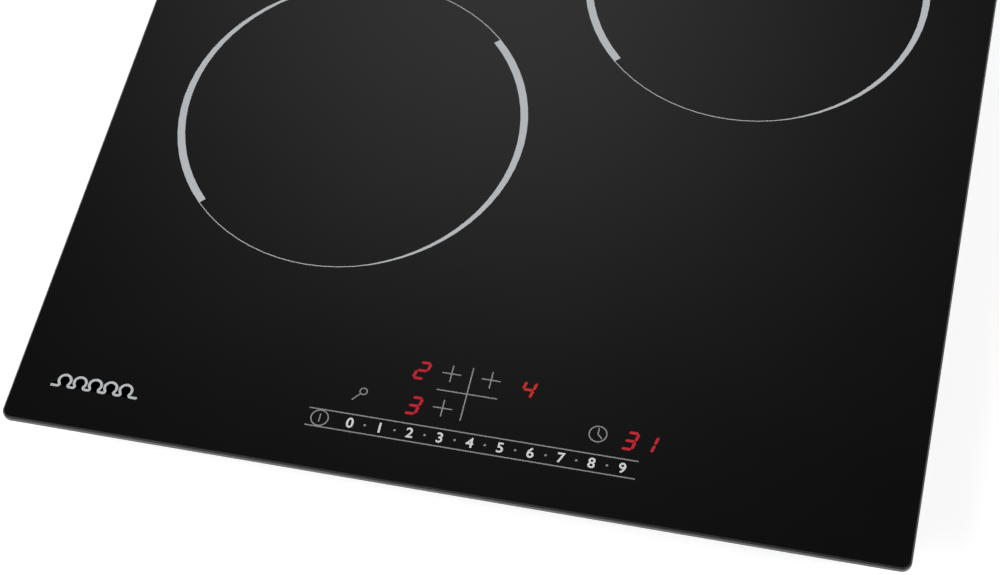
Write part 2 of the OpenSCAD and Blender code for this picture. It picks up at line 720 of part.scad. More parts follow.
// Sprung contacts that press against the underside of the glass below each touch key
electrode_r = 4.4;
electrode_h = housing_h - 0.1 - control_z - board_t;
module electrode(place) translate([place.x, front_edge + place.y, control_z + board_t])
    rotate_extrude() polygon([for (p = [[0, 0], [0.6, 0], [0.6, 0.3], [0.45, 0.5], [0.6, 0.7], [1, 0.85],
        [1, 1], [0, 1]]) [p.x * electrode_r, p.y * electrode_h]]);

module touch_electrodes() color([0.8, 0.78, 0.7]) {
    for (i = [0 : 9]) electrode([digit_x0 + i * digit_pitch, slider_y]);
    for (place = [[-1, 1], [1, 1], [-1, -1]])
        electrode([select_x + place.x * plus_dx, select_y + place.y * plus_dy]);
    for (place = [power_mark, clock_mark, key_mark]) electrode(place);
}

ribbon_x = -70;
ribbon_w = 18;
ribbon_t = 0.8;
ribbon_y = control_front + control_d - 1;

// The flat cable between the boards: down through the coil plate, then back to the power board
module ribbon_cable() color([0.75, 0.75, 0.75]) translate([ribbon_x, 0, 0])
    rotate([90, 0, 90]) linear_extrude(ribbon_w, center = true) {
        low = board_top + 9;
        bend = 2;
        rise = ribbon_t / 2;
        foot = board_top + socket_h + sheet_gap;
        end = power_y + socket_d / 2 + 1;
        head = control_z - fixed_gap;
        polygon([[ribbon_y, head], [ribbon_y, low + bend], [ribbon_y + bend, low], [end - bend, low],
            [end, low - bend], [end, foot], [end + ribbon_t, foot], [end + ribbon_t, low - bend + rise],
            [end - bend + ribbon_t, low + ribbon_t], [ribbon_y + bend, low + ribbon_t],
            [ribbon_y + ribbon_t, low + bend], [ribbon_y + ribbon_t, head]]);
    }

// ---- Power electronics ----

module power_board() color([0.12, 0.34, 0.2]) difference() {
    span([power_x, power_y, board_z], [power_x + power_w, power_y + power_d, board_top]);
    for (place = pillar_places) translate([place.x, place.y, board_z - past])
        cylinder(r = SCREW_M3[0] + sheet_gap, h = board_t + 2 * past);
}

module board_pillars() color([0.85, 0.85, 0.82]) for (place = pillar_places)
    translate([place.x, place.y, dimple_h + sheet_t]) difference() {
        h = power_z - dimple_h;
        union() {
            cylinder(r = 4, h = h);
            cylinder(r = SCREW_M3[0], h = h + board_t + 1);
        }
        translate([0, 0, -past]) cylinder(r = SCREW_M3[0] + fixed_gap, h = h);
    }

module heatsink() color([0.75, 0.76, 0.78]) translate([sink_x, power_y + 6, sink_z]) {
    fins = 9;
    fin_t = 1.4;
    fin_pitch = (sink_w - fin_t) / (fins - 1);
    cube([sink_w, sink_d, sink_base]);
    for (i = [0 : fins - 1]) translate([i * fin_pitch, 0, 0]) cube([fin_t, sink_d, stack_top - sink_z]);
}

// Transistors and the bridge rectifier, clamped under the heatsink
module power_transistors() color([0.1, 0.1, 0.1]) {
    count = 5;
    case_w = 16;
    case_d = 21;
    pitch = 30;
    lift = 0.4;
    lead = [1.6, 6.5, 1.4];
    lead_pitch = 4.6;
    x0 = sink_x + sink_w / 2 - case_w;
    for (i = [0 : count - 1]) translate([x0, power_y + 16 + i * pitch, board_top]) {
        translate([0, 0, lift]) cube([case_w, case_d, sink_z - board_top - lift]);
        for (j = [0 : 2]) translate([2.5 + j * lead_pitch, 0.5 - lead.y, 0]) cube(lead);
    }
}

// Film capacitors in boxes, and round filter capacitors
module capacitors() color([0.82, 0.68, 0.25]) {
    film = [24, 42, stack_top - 2 - board_top];
    film_pitch = [32, 62];
    can_r = 8;
    can_h = 15;
    can_pitch = 22;
    for (i = [0, 1], j = [0, 1])
        translate([power_x + 92 + i * film_pitch.x, power_y + 30 + j * film_pitch.y, board_top]) cube(film);
    for (i = [0 : 2]) translate([power_x + 24, power_y + 92 + i * can_pitch, board_top])
        cylinder(r = can_r, h = can_h);
}

// A ring core with its winding
module filter_choke() color([0.7, 0.42, 0.2]) translate([power_x + 58, power_y + 110, board_top + 7.5]) {
    core = [8, 12];
    turn = [10.5, 14.5];
    turn_w = 2.4;
    turns = 18;
    ring_r = 13;
    rotate_extrude() translate([ring_r, 0]) square(core, center = true);
    for (i = [0 : turns - 1]) rotate(i * 360 / turns) translate([ring_r, 0, 0]) rotate([90, 0, 0])
        translate([0, 0, -turn_w / 2]) linear_extrude(turn_w) square(turn, center = true);
}

socket_w = 18;
socket_d = 10;
socket_h = 5;
plug_h = 7;
mains_h = 8;
module board_connectors() color([0.9, 0.89, 0.85]) {
    for (place = lead_places) translate([connector_x(place), connector_y(place), board_top])
        translate([-socket_w / 2, -socket_d / 2, 0]) cube([socket_w, socket_d, plug_h]);
    translate([ribbon_x - ribbon_w / 2 - ribbon_play, power_y + 2, board_top])
        cube([ribbon_w + 2 * ribbon_play, socket_d - 2, socket_h]);
    translate([mains_x - mains_w / 2, mains_y - socket_d / 2, board_top])
        cube([mains_w, socket_d, mains_h]);
}
function connector_x(place) = min(max(place.x, power_x + 12), power_x + power_w - 12);
function connector_y(place) = min(place.y, power_y + power_d - 8);
mains_w = 20;
mains_x = power_x + power_w - mains_w / 2 - 1;
mains_y = power_y + power_d - 58;

// Leads from each coil to its connector, and the mains wires from the terminal box
module wiring() color([0.25, 0.25, 0.27]) {
    lead_r = 1.5;
    sides = 8;
    steps = 10;
    clear = 1.4;
    drop = [0, 0, 8];
    for (place = lead_places, dx = [-4, 4]) {
        top = [place.x + dx, place.y, plate_z];
        end = [connector_x(place) + dx, connector_y(place), board_top + plug_h + clear];
        wire(curve(top, top - drop, end + drop, end, steps), lead_r, sides, lead_side(end - top));
    }
    for (i = [0 : 2]) {
        start = [mains_lead_x + i * mains_lead_pitch, box_y - fixed_gap, mains_lead_z];
        end = [mains_x + (i - 1) * 6, mains_y, board_top + mains_h + clear];
        flat = unit([end.x - start.x, end.y - start.y, 0]);
        route = curve(start, start + 60 * flat, end + 2 * drop, end, steps);
        wire(route, lead_r, sides, lead_side(end - start));
    }
}
mains_lead_x = box_x0 + 10;
mains_lead_pitch = 7;
mains_lead_z = 16;
function lead_side(way) = norm([way.x, way.y]) < past ? [1, 0, 0] : unit([way.y, -way.x, 0]);

// ---- Blower ----

// The blower's plan: a round chamber with a straight outlet towards the heatsink
module blower_plan(inset, h) {
    translate([blower_x, blower_y, 0]) cylinder(r = blower_r - inset, h = h);
    span([duct_x + inset, power_y + power_d + 3, 0], [duct_x + duct_w - inset, blower_y, h]);
}

module blower_housing() color([0.15, 0.15, 0.16]) translate([0, 0, blower_z]) difference() {
    blower_plan(0, blower_h - blower_wall);
    translate([0, 0, blower_wall]) blower_plan(blower_wall, blower_h);
    // The outlet's open end
    span([duct_x + blower_wall, power_y + power_d, blower_wall],
        [duct_x + duct_w - blower_wall, blower_y, blower_h]);
    translate([blower_x, blower_y, -past]) cylinder(r = impeller_r - 8, h = blower_wall + 2 * past);
}

module blower_cover() color([0.17, 0.17, 0.18]) translate([0, 0, cover_plane]) difference() {
    union() {
        blower_plan(0, blower_wall);
        translate([blower_x, blower_y, -bearing_h]) cylinder(r = bearing_r, h = bearing_h);
    }
    translate([blower_x, blower_y, -blower_h]) cylinder(r = shaft_r + run_gap, h = blower_h);
}

module fan_impeller() color([0.22, 0.22, 0.24]) translate([blower_x, blower_y, impeller_z]) {
    blades = 28;
    back_t = 1.5;
    cup_t = 1.2;
    rim_w = 9;
    // A blade's outline, inwards from the impeller's edge
    blade = [[rim_w, 0], [5, 1.6], [1, 4.6], [1.8, 5.2], [5.6, 2.6], [rim_w, 1.1]];
    difference() {
        union() {
            cylinder(r = hub_cup_r, h = impeller_h);
            translate([0, 0, impeller_h - back_t]) cylinder(r = impeller_r, h = back_t);
        }
        translate([0, 0, 2]) cylinder(r = hub_cup_r - cup_t, h = impeller_h);
        translate([0, 0, -past]) cylinder(r = shaft_r, h = impeller_h);
    }
    // Forward-curved blades between the back plate and a rim
    for (i = [0 : blades - 1]) rotate(i * 360 / blades) linear_extrude(impeller_h - 1)
        polygon([for (p = blade) [impeller_r - p.x, p.y]]);
    tube(impeller_r - 0.5, impeller_r - rim_w - 0.5, 1);
}

module fan_shaft() color([0.8, 0.8, 0.82]) translate([blower_x, blower_y, impeller_z])
    cylinder(r = shaft_r, h = impeller_h + 1.5);

module fan_stator() color([0.65, 0.38, 0.2]) translate([blower_x, blower_y, impeller_z + 4]) {
    h = impeller_h - 5;
    poles = 6;
    arm = [8, 3.2, h - 2];
    shoe = [2.5, 8, h - 1];
    tube(bearing_r + 3, bearing_r + fixed_gap, h);
    for (i = [0 : poles - 1]) rotate(i * 360 / poles) {
        translate([bearing_r + 2, -arm.y / 2, 1]) cube(arm);
        translate([bearing_r + arm.x, -shoe.y / 2, 0.5]) cube(shoe);
    }
}

// ---- Mains connection ----

module terminal_box() color([0.86, 0.86, 0.84]) difference() {
    union() {
        difference() {
            span([box_x0, box_y, box_z], [box_x1, box_rear, box_z + box_h]);
            span([box_x0 + box_wall, box_y + box_wall, box_z + box_wall],
                [box_x1 - box_wall, tray_rear, box_z + box_h - box_wall]);
        }
        // Two ears pass through the housing's window and carry the cover's pin
        for (x = [cover_x0 - ear_w - ear_gap, cover_x1 + ear_gap]) translate([x, hinge_y, hinge_z]) {
            rotate([0, 90, 0]) cylinder(r = knuckle_r, h = ear_w);
            span([0, box_rear - hinge_y - ear_w, -knuckle_r], [ear_w, 0, knuckle_r]);
            span([0, box_rear - hinge_y - ear_w, box_z - hinge_z], [ear_w, box_rear - hinge_y, knuckle_r]);
        }
    }
    translate([cover_x0 - 2 * ear_w, hinge_y, hinge_z]) rotate([0, 90, 0])
        cylinder(r = pin_r + pin_gap, h = cover_x1 - cover_x0 + 4 * ear_w);
    for (i = [0 : 2]) translate([mains_lead_x + i * mains_lead_pitch, box_y - past, mains_lead_z])
        rotate([-90, 0, 0]) cylinder(r = 2, h = box_wall + 2 * past);
}

// A five-way block with its wire funnels towards the cover
module terminal_block() color([0.92, 0.9, 0.84]) difference() {
    pitch = 6.5;
    ways = 5;
    size = [ways * pitch + 2, 15, 15];
    corner = [(cover_x0 + cover_x1 - size.x) / 2, box_y + box_wall + 2, box_z + box_wall];
    translate(corner) cube(size);
    for (i = [0 : ways - 1]) translate(corner + [1 + (i + 0.5) * pitch, 0, 0]) {
        translate([0, size.y + past, size.z / 3]) rotate([90, 0, 0])
            cylinder(r = 2.2, h = size.y / 2 + past);
        translate([0, size.y / 2, size.z / 2]) cylinder(r = 2, h = size.z);
    }
}

module terminal_cover() color([0.2, 0.2, 0.21]) difference() {
    face = tray_rear + cover_gap;
    top = cover_z + cover_h;
    middle = (cover_x0 + cover_x1) / 2;
    grip = 7;
    union() {
        span([cover_x0, face, cover_z], [cover_x1, face + cover_t, top]);
        translate([cover_x0, hinge_y, hinge_z]) rotate([0, 90, 0])
            cylinder(r = knuckle_r, h = cover_x1 - cover_x0);
        span([cover_x0, face, hinge_z], [cover_x1, hinge_y, cover_z]);
        // A ledge for a fingernail
        span([middle - grip, face, top - 3], [middle + grip, hinge_y + 2, top - 1]);
    }
    translate([cover_x0 - past, hinge_y, hinge_z]) rotate([0, 90, 0])
        cylinder(r = pin_r + run_gap, h = cover_x1 - cover_x0 + 2 * past);
}

module terminal_hinge_pin() color([0.78, 0.78, 0.8])
    translate([cover_x0 - ear_w - ear_gap, hinge_y, hinge_z]) rotate([0, 90, 0])
        cylinder(r = pin_r, h = cover_x1 - cover_x0 + 2 * (ear_w + ear_gap));

// A threaded bush with a hexagonal flange outside the wall and a nut inside it
module cable_gland() color([0.1, 0.1, 0.1]) translate([entry_x, tray_rear, entry_z]) rotate([90, 0, 0]) {
    flange = 4;
    lip = 3;
    nut = 5;
    nut_z = flange + sheet_t;
    translate([0, 0, -flange]) difference() {
        union() {
            cylinder(r = gland_nut_r, h = flange, $fn = 6);
            translate([0, 0, -lip]) cylinder(r1 = gland_r - 0.6, r2 = gland_r, h = lip);
            cylinder(r = gland_r, h = nut_z + nut + 1);
            translate([0, 0, nut_z + sheet_gap]) cylinder(r = gland_nut_r, h = nut, $fn = 6);
        }
        translate([0, 0, -lip - past]) cylinder(r = cable_r, h = lip + nut_z + nut + 1 + 2 * past);
    }
}

// A saddle on the box floor and the strap that is screwed down over the cable
module cable_clamp() color([0.3, 0.3, 0.31]) translate([entry_x, box_y + 10, entry_z]) {
    half_w = cable_r + 5;
    half_d = 5;
    split = 0.5;
    drop = entry_z - box_z - box_wall;
    difference() {
        union() {
            span([-half_w, -half_d, -drop], [half_w, half_d, -split]);
            span([-half_w, 1 - half_d, split], [half_w, half_d - 1, cable_r + 2]);
        }
        translate([0, -half_d - past, 0]) rotate([-90, 0, 0])
            cylinder(r = cable_r + sheet_gap, h = 2 * (half_d + past));
    }
}

// ---- Worktop clamps ----

// A swivel clamp: a flat arm that turns on its screw, with its tip bent up
module clamp(x, y) {
    inward = -sign(y);
    tip = inward * clamp_reach;
    bend = inward * (clamp_reach - clamp_t);
    color([0.7, 0.71, 0.73]) translate([x, y, clamp_z]) difference() {
        union() {
            cylinder(r = clamp_w / 2, h = clamp_t);
            span([-clamp_w / 2, min(0, tip), 0], [clamp_w / 2, max(0, tip), clamp_t]);
            span([-clamp_w / 2, min(tip, bend), 0], [clamp_w / 2, max(tip, bend), clamp_t + clamp_tip_h]);
        }
        translate([0, 0, -past]) cylinder(r = clamp_screw_r + run_gap, h = clamp_t + 2 * past);
    }
}

// Shoulder screws: a head, a shoulder that the clamp turns on, a collar and a thread
module clamp_screws() color([0.75, 0.75, 0.77])
    for (x = [-pivot_x, pivot_x], y = [-clamp_y, clamp_y]) translate([x, y, 0]) difference() {
        foot = 0.4;
        edge = 0.6;
        head = clamp_z - 0.2;
        collar = clamp_z + clamp_t + 0.3;
        end = step_h + sheet_t + 4;
        cross = [4.8, 1, 1.6];
        rotate_extrude() polygon([[0, foot], [clamp_head_r - edge, foot], [clamp_head_r, foot + edge],
            [clamp_head_r, head], [clamp_screw_r, head], [clamp_screw_r, collar], [clamp_head_r, collar],
            [clamp_head_r, step_h], [SCREW_M4[0], step_h], [SCREW_M4[0], end], [0, end]]);
        for (turn = [0, 90]) rotate(turn) translate([-cross.x / 2, -cross.y / 2, 0]) cube(cross);
    }

glass_plate();
zone_markings();
panel_markings();
glass_gasket();
support_frame();
housing_pan();
side_panels();
housing_screws();
intake_grille();
coil_plate();
coil_carrier(ZONE_FRONT_LEFT);  // coil_carrier_front_left
coil_carrier(ZONE_REAR_LEFT);  // coil_carrier_rear_left
coil_carrier(ZONE_RIGHT);  // coil_carrier_right
winding(ZONE_FRONT_LEFT);  // winding_front_left
winding(ZONE_REAR_LEFT);  // winding_rear_left
winding(ZONE_RIGHT);  // winding_right
ferrites(ZONE_FRONT_LEFT);  // ferrites_front_left
ferrites(ZONE_REAR_LEFT);  // ferrites_rear_left
ferrites(ZONE_RIGHT);  // ferrites_right
mica_sheet(ZONE_FRONT_LEFT);  // mica_sheet_front_left
mica_sheet(ZONE_REAR_LEFT);  // mica_sheet_rear_left
mica_sheet(ZONE_RIGHT);  // mica_sheet_right
coil_springs(ZONE_FRONT_LEFT);  // coil_springs_front_left
coil_springs(ZONE_REAR_LEFT);  // coil_springs_rear_left
coil_springs(ZONE_RIGHT);  // coil_springs_right
sensor(ZONE_FRONT_LEFT);  // sensor_front_left
sensor(ZONE_REAR_LEFT);  // sensor_rear_left
sensor(ZONE_RIGHT);  // sensor_right
sensor_spring(ZONE_FRONT_LEFT);  // sensor_spring_front_left
sensor_spring(ZONE_REAR_LEFT);  // sensor_spring_rear_left
sensor_spring(ZONE_RIGHT);  // sensor_spring_right
control_carrier();
control_board();
led_displays();
touch_electrodes();
ribbon_cable();
power_board();
board_pillars();
heatsink();
power_transistors();
capacitors();
filter_choke();
board_connectors();
wiring();
blower_housing();
blower_cover();
fan_impeller();
fan_shaft();
fan_stator();
terminal_box();
terminal_block();
terminal_cover();
terminal_hinge_pin();
cable_gland();
cable_clamp();
clamp(-pivot_x, -clamp_y);  // clamp_front_left
clamp(pivot_x, -clamp_y);  // clamp_front_right
clamp(-pivot_x, clamp_y);  // clamp_rear_left
clamp(pivot_x, clamp_y);  // clamp_rear_right
clamp_screws();
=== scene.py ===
"""Looks of the built-in induction cooktop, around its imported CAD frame. All lengths are in metres."""
import json
import math

import bmesh
import bpy
from mathutils import Matrix, Vector


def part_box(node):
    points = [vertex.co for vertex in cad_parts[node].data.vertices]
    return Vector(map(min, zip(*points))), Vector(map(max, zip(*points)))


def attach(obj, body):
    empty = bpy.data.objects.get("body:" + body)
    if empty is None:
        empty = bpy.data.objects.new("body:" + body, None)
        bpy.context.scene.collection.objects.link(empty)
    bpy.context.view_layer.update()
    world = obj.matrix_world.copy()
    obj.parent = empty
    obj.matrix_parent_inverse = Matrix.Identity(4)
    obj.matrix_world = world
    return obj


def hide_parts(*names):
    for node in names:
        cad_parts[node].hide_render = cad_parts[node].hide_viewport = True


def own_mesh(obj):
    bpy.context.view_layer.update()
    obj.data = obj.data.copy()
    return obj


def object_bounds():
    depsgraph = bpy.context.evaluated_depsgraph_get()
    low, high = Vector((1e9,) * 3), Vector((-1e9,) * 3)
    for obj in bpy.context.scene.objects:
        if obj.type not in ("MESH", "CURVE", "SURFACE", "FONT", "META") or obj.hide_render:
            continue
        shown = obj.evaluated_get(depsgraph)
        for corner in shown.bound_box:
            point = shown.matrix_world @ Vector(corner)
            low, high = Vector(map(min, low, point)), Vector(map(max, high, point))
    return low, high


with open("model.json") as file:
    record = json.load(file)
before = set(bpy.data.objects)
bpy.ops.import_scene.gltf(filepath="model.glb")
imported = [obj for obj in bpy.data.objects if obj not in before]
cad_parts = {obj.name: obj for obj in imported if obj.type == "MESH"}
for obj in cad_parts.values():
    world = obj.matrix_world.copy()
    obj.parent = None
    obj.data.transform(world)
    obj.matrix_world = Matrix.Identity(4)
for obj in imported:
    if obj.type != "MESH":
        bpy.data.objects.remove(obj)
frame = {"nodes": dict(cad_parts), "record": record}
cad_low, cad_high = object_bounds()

MM = 0.001

# ---- Places taken from the frame ----

GLASS_LOW, GLASS_HIGH = (Vector(corner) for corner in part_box("glass_plate"))
GLASS_TOP = GLASS_HIGH.z
FRONT_EDGE = GLASS_LOW.y
PRINT_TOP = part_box("panel_markings")[1][2]
PAN_LOW, PAN_HIGH = (Vector(corner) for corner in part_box("housing_pan"))
SIDE_LOW, SIDE_HIGH = (Vector(corner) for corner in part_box("side_panels"))
FRAME_LOW, FRAME_HIGH = (Vector(corner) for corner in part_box("support_frame"))
ZONES = ("front_left", "rear_left", "right")


# ---- Material helpers ----

class Shader:
    """A node material under construction: makes nodes, and links them by name."""

    def __init__(self, name):
        self.material = bpy.data.materials.new(name)
        self.material.use_nodes = True
        self.tree = self.material.node_tree
        self.bsdf = self.tree.nodes["Principled BSDF"]

    def node(self, kind, **settings):
        made = self.tree.nodes.new(kind)
        for key, value in settings.items():
            if key in made.bl_rna.properties:
                setattr(made, key, value)
            else:
                made.inputs[key.replace("_", " ")].default_value = value
        return made

    def link(self, output, socket):
        self.tree.links.new(output, socket)

    def set(self, **values):
        for key, value in values.items():
            self.bsdf.inputs[key.replace("_", " ")].default_value = value

    @staticmethod
    def rgba(colour):
        """Four channels from a grey or from a colour."""
        return (colour,) * 3 + (1,) if isinstance(colour, (int, float)) else tuple(colour) + (1,)

    def position(self, scale=1.0):
        """Object coordinates in metres, scaled up for the textures."""
        coords = self.node("ShaderNodeTexCoord")
        mapping = self.node("ShaderNodeMapping")
        if isinstance(scale, (int, float)):
            scale = (scale,) * 3
        mapping.inputs["Scale"].default_value = scale
        self.link(coords.outputs["Object"], mapping.inputs["Vector"])
        return mapping.outputs["Vector"]

    def noise(self, scale, detail=3.0, roughness=0.55, vector=None):
        made = self.node("ShaderNodeTexNoise", Scale=scale, Detail=detail, Roughness=roughness)
        self.link(vector or self.position(), made.inputs["Vector"])
        return made.outputs["Fac"]

    def ramp(self, value, stops):
        """Turns a value into colours or greys; stops are (place, colour or grey)."""
        made = self.node("ShaderNodeValToRGB")
        elements = made.color_ramp.elements
        while len(elements) < len(stops):
            elements.new(0.5)
        for element, (place, colour) in zip(elements, stops):
            element.position = place
            element.color = self.rgba(colour)
        self.link(value, made.inputs["Fac"])
        return made.outputs["Color"]

    def span(self, value, low, high):
        """Maps a 0 to 1 value onto low to high."""
        made = self.node("ShaderNodeMapRange")
        made.inputs["To Min"].default_value = low
        made.inputs["To Max"].default_value = high
        self.link(value, made.inputs["Value"])
        return made.outputs["Result"]

    def mix(self, factor, a, b):
        made = self.node("ShaderNodeMix", data_type="RGBA")
        self.link(factor, made.inputs[0])
        for socket, value in ((made.inputs[6], a), (made.inputs[7], b)):
            if isinstance(value, bpy.types.NodeSocket):
                self.link(value, socket)
            else:
                socket.default_value = tuple(value) + (1,)
        return made.outputs[2]

    def bump(self, height, distance, strength=1.0, normal=None):
        made = self.node("ShaderNodeBump", Strength=strength, Distance=distance)
        self.link(height, made.inputs["Height"])
        if normal is not None:
            self.link(normal, made.inputs["Normal"])
        self.link(made.outputs["Normal"], self.bsdf.inputs["Normal"])
        return made.outputs["Normal"]


# ---- Materials ----

def black_glass():
    """Polished black glass-ceramic with ground edges: deep, neutral, with the faintest unevenness. The
    edges are painted lighter towards the foot of the glass, a painted highlight.
    """
    m = Shader("black_glass")
    cloud = m.noise(9.0, detail=2.0)
    face = m.ramp(cloud, [(0.35, (0.0010, 0.0010, 0.0011)), (0.7, (0.0020, 0.0020, 0.0021))])
    upright = m.node("ShaderNodeSeparateXYZ")
    m.link(m.node("ShaderNodeNewGeometry").outputs["True Normal"], upright.inputs[0])
    tilt = m.node("ShaderNodeMath", operation="ABSOLUTE")
    m.link(upright.outputs["Z"], tilt.inputs[0])
    flat = m.ramp(tilt.outputs[0], [(0.90, 0.0), (0.99, 1.0)])
    scratches = m.noise(1.0, vector=m.position((900.0, 900.0, 4000.0)), detail=3.0)
    height = m.node("ShaderNodeSeparateXYZ")
    m.link(m.node("ShaderNodeNewGeometry").outputs["Position"], height.inputs[0])
    rise = m.node("ShaderNodeMapRange", **{"From Min": GLASS_LOW.z, "From Max": GLASS_TOP})
    m.link(height.outputs["Z"], rise.inputs["Value"])
    # Painted highlight: the edges are painted lighter towards the foot of the glass, by height alone.
    painted_edge_highlight = m.ramp(rise.outputs["Result"], [
        (0.0, (0.11, 0.115, 0.118)), (0.45, (0.016, 0.017, 0.018)), (1.0, (0.006, 0.006, 0.007))])
    # The edge colour mixes the grey of the ground edge with the painted highlight.
    ground = m.mix(m.ramp(scratches, [(0.3, 0.0), (0.7, 0.12)]), painted_edge_highlight, (0.09, 0.095, 0.10))
    m.link(m.mix(flat, ground, face), m.bsdf.inputs["Base Color"])
    satin = m.ramp(scratches, [(0.0, 0.26), (1.0, 0.40)])
    polish = m.mix(flat, satin, m.ramp(m.noise(40.0), [(0.0, 0.035), (1.0, 0.06)]))
    m.link(polish, m.bsdf.inputs["Roughness"])
    m.set(IOR=1.53)
    m.bump(m.noise(5.0, detail=1.0), 0.00002, 0.15)
    return m.material


def enamel(name, dark, light):
    """A fired ceramic print, slightly grainy and a little uneven in tone."""
    m = Shader(name)
    grain = m.noise(2600.0, detail=2.0)
    m.link(m.ramp(grain, [(0.3, dark), (0.7, light)]), m.bsdf.inputs["Base Color"])
    m.link(m.span(m.noise(900.0), 0.35, 0.55), m.bsdf.inputs["Roughness"])
    m.bump(grain, 0.00003, 0.5)
    return m.material


def lit_segment(name, colour, strength):
    """A lit display segment seen through the glass, its glow a little uneven."""
    m = Shader(name)
    glow = m.noise(300.0, detail=1.0)
    dim = [c * 0.85 for c in colour]
    m.link(m.ramp(glow, [(0.2, dim), (0.8, colour)]), m.bsdf.inputs["Emission Color"])
    m.set(Base_Color=(0.05, 0.0, 0.0, 1), Emission_Strength=strength, Roughness=0.4)
    return m.material


def galvanised(name, tint=(0.37, 0.38, 0.39), scale=130.0):
    """Zinc-coated sheet: a fine spangle of crystals, faint rolling lines and dull smudges."""
    m = Shader(name)
    place = m.position()
    cells = m.node("ShaderNodeTexVoronoi", Scale=scale)
    m.link(place, cells.inputs["Vector"])
    grey = m.node("ShaderNodeSeparateColor")
    m.link(cells.outputs["Color"], grey.inputs["Color"])
    smudge = m.noise(14.0, detail=5.0)
    dark = [c * 0.74 for c in tint]
    spangle = m.ramp(grey.outputs[0], [(0.0, dark), (1.0, tint)])
    tone = m.mix(m.span(smudge, 0.0, 0.5), spangle, [c * 0.72 for c in tint])
    m.link(tone, m.bsdf.inputs["Base Color"])
    rough = m.node("ShaderNodeMath", operation="ADD")
    m.link(m.span(grey.outputs[1], 0.30, 0.44), rough.inputs[0])
    m.link(m.span(smudge, -0.05, 0.12), rough.inputs[1])
    m.link(rough.outputs[0], m.bsdf.inputs["Roughness"])
    m.set(Metallic=0.9)
    m.bump(m.noise(1.0, vector=m.position((60.0, 2200.0, 2200.0)), detail=2.0), 0.00003, 0.35)
    return m.material


def drawn_metal(name, tint, rough=(0.18, 0.32), stretch=(300.0, 300.0, 300.0)):
    """Bright metal with fine drawing marks and small changes of polish."""
    m = Shader(name)
    marks = m.noise(1.0, vector=m.position(stretch), detail=4.0)
    m.link(m.ramp(marks, [(0.25, [c * 0.82 for c in tint]), (0.75, tint)]), m.bsdf.inputs["Base Color"])
    m.link(m.span(marks, *rough), m.bsdf.inputs["Roughness"])
    m.set(Metallic=1.0)
    m.bump(marks, 0.00002, 0.4)
    return m.material


def moulded(name, tint, rough=(0.42, 0.58), grain=1500.0):
    """Injection-moulded plastic with a fine spark-eroded grain."""
    m = Shader(name)
    fine = m.noise(grain, detail=2.0)
    broad = m.noise(25.0, detail=3.0)
    m.link(m.ramp(broad, [(0.3, [c * 0.88 for c in tint]), (0.7, tint)]), m.bsdf.inputs["Base Color"])
    m.link(m.span(fine, *rough), m.bsdf.inputs["Roughness"])
    m.bump(fine, 0.00006, 0.6)
    return m.material


def foam():
    """Closed-cell sealing foam: black, matte and pitted, with painted shade in the pits."""
    m = Shader("seal_foam")
    cells = m.node("ShaderNodeTexVoronoi", Scale=1400.0)
    m.link(m.position(), cells.inputs["Vector"])
    # Painted shade: each pit is darker towards its middle, where the bump is deepest.
    m.link(m.ramp(cells.outputs["Distance"],
                  [(0.0, (0.012, 0.012, 0.012)), (0.6, (0.04, 0.04, 0.041))]),
           m.bsdf.inputs["Base Color"])
    m.set(Roughness=0.9)
    m.bump(cells.outputs["Distance"], 0.0002, 0.8)
    return m.material


def circuit_board():
    """Green solder mask with tracks that show through as a lighter, raised web."""
    m = Shader("circuit_board")
    tracks = m.node("ShaderNodeTexBrick", Scale=90.0)
    tracks.inputs["Mortar Size"].default_value = 0.06
    m.link(m.position(), tracks.inputs["Vector"])
    lacquer = m.mix(tracks.outputs["Fac"], (0.012, 0.09, 0.035), (0.03, 0.17, 0.07))
    m.link(lacquer, m.bsdf.inputs["Base Color"])
    m.link(m.span(m.noise(400.0), 0.25, 0.4), m.bsdf.inputs["Roughness"])
    m.bump(tracks.outputs["Fac"], 0.00004, 0.6)
    return m.material


def litz():
    """Enamelled copper strands, twisted: fine slanting bands, with a painted highlight on each raised
    band and painted shade between them.
    """
    m = Shader("copper_litz")
    bands = m.node("ShaderNodeTexWave", Scale=420.0, Distortion=4.0, Detail=2.0)
    m.link(m.position(), bands.inputs["Vector"])
    # Painted highlight on the raised bands and painted shade in the grooves between them.
    m.link(m.ramp(bands.outputs["Fac"], [(0.1, (0.32, 0.10, 0.035)), (0.8, (0.78, 0.36, 0.16))]),
           m.bsdf.inputs["Base Color"])
    m.link(m.span(bands.outputs["Fac"], 0.25, 0.45), m.bsdf.inputs["Roughness"])
    m.set(Metallic=0.85)
    m.bump(bands.outputs["Fac"], 0.0002, 0.7)
    return m.material


def mineral(name, dark, light, scale, rough):
    """Sintered or pressed mineral stuff: speckled and dull."""
    m = Shader(name)
    speck = m.noise(scale, detail=6.0, roughness=0.7)
    m.link(m.ramp(speck, [(0.35, dark), (0.65, light)]), m.bsdf.inputs["Base Color"])
    m.link(m.span(speck, rough - 0.08, rough + 0.08), m.bsdf.inputs["Roughness"])
    m.bump(speck, 0.00008, 0.5)
    return m.material


